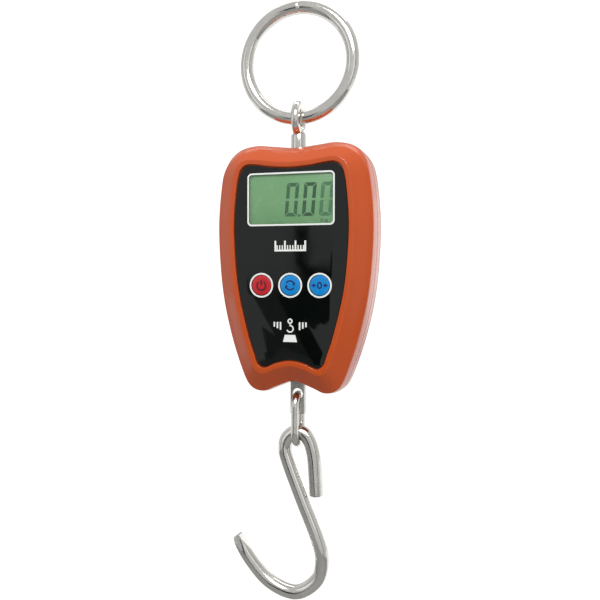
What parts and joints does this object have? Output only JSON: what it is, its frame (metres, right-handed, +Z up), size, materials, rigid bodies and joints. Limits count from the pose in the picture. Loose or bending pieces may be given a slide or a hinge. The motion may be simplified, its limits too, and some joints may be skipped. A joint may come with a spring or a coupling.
{
  "type": "hanging scale",
  "caption": "Hand-held hanging scale: steel ring and eye, waisted plastic case with display and push buttons, chain link and S-hook.",
  "frame": {"origin": "the top of the ring's inside, on its middle plane, where a hook or bar carries the scale", "axes": "+X to the right seen from the front, +Y from the display towards the back, +Z up along the load line"},
  "size_m": [0.0768, 0.0302, 0.2877],
  "materials": {
    "shell_orange": "glossy orange ABS, lightly textured",
    "panel_black": "glossy black printed acrylic",
    "window_clear": "clear polycarbonate",
    "lcd_green": "liquid crystal glass over a green backlight",
    "diffuser_white": "milky light guide",
    "button_red": "glossy red",
    "button_blue": "glossy blue",
    "steel": "polished stainless steel",
    "aluminium": "machined aluminium",
    "board_green": "solder mask",
    "chip_black": "moulded epoxy",
    "zebra_grey": "silicone with carbon layers",
    "nickel": "nickel-plated steel",
    "gauge_film": "polyimide film",
    "cable_red": "PVC insulation",
    "cable_black": "PVC insulation",
    "cable_grey": "PVC sheath",
    "battery_wrap": "printed film sleeve on steel"
  },
  "bodies": {
    "ring": {"hang_ring": "steel"},
    "case": {"eye_bolt": "steel", "eye_nut": "nickel", "load_cell": "aluminium", "hook_plate": "steel", "plate_pin": "nickel", "front_shell": "shell_orange", "rear_shell": "shell_orange", "front_panel": "panel_black", "display_window": "window_clear", "lcd_glass": "lcd_green", "backlight": "diffuser_white", "zebra_strip": "zebra_grey", "switch_power": "chip_black", "switch_mode": "chip_black", "switch_tare": "chip_black", "main_board": "board_green", "main_chip": "chip_black", "converter_chip": "chip_black", "crystal_can": "nickel", "capacitor_left": "chip_black", "capacitor_right": "chip_black", "strain_gauge_right": "gauge_film", "strain_gauge_left": "gauge_film", "battery_upper": "battery_wrap", "battery_lower": "battery_wrap", "contact_spring_right": "nickel", "contact_spring_left": "nickel", "contact_plate_right": "nickel", "contact_plate_left": "nickel", "gauge_cable": "cable_grey", "battery_lead_red": "cable_red", "battery_lead_black": "cable_black", "case_screw_1": "nickel", "case_screw_2": "nickel", "case_screw_3": "nickel", "case_screw_4": "nickel", "board_screw_1": "nickel", "board_screw_2": "nickel"},
    "link": {"chain_link": "steel"},
    "hook": {"s_hook": "steel"},
    "door": {"battery_door": "shell_orange"},
    "power_cap": {"button_power": "button_red"},
    "mode_cap": {"button_mode": "button_blue"},
    "tare_cap": {"button_tare": "button_blue"}
  },
  "joints": [
    {"name": "case_swing", "type": "hinge", "parent": "ring", "child": "case", "pos_m": [0, 0, -0.04885], "axis": [1, 0, 0], "range_deg": [-110, 110]},
    {"name": "link_swing", "type": "hinge", "parent": "case", "child": "link", "pos_m": [0, 0, -0.1812], "axis": [0, 1, 0], "range_deg": [-60, 60]},
    {"name": "hook_swing", "type": "hinge", "parent": "link", "child": "hook", "pos_m": [0, 0, -0.1994], "axis": [1, 0, 0], "range_deg": [-90, 90]},
    {"name": "door_hinge", "type": "hinge", "parent": "case", "child": "door", "pos_m": [0, 0.01475, -0.1119], "axis": [1, 0, 0], "range_deg": [0, 95]},
    {"name": "power_press", "type": "slide", "parent": "case", "child": "power_cap", "axis": [0, 1, 0], "range_m": [0, 0.0005], "stiffness_N_per_m": 1500},
    {"name": "mode_press", "type": "slide", "parent": "case", "child": "mode_cap", "axis": [0, 1, 0], "range_m": [0, 0.0005], "stiffness_N_per_m": 1500},
    {"name": "tare_press", "type": "slide", "parent": "case", "child": "tare_cap", "axis": [0, 1, 0], "range_m": [0, 0.0005], "stiffness_N_per_m": 1500}
  ]
}
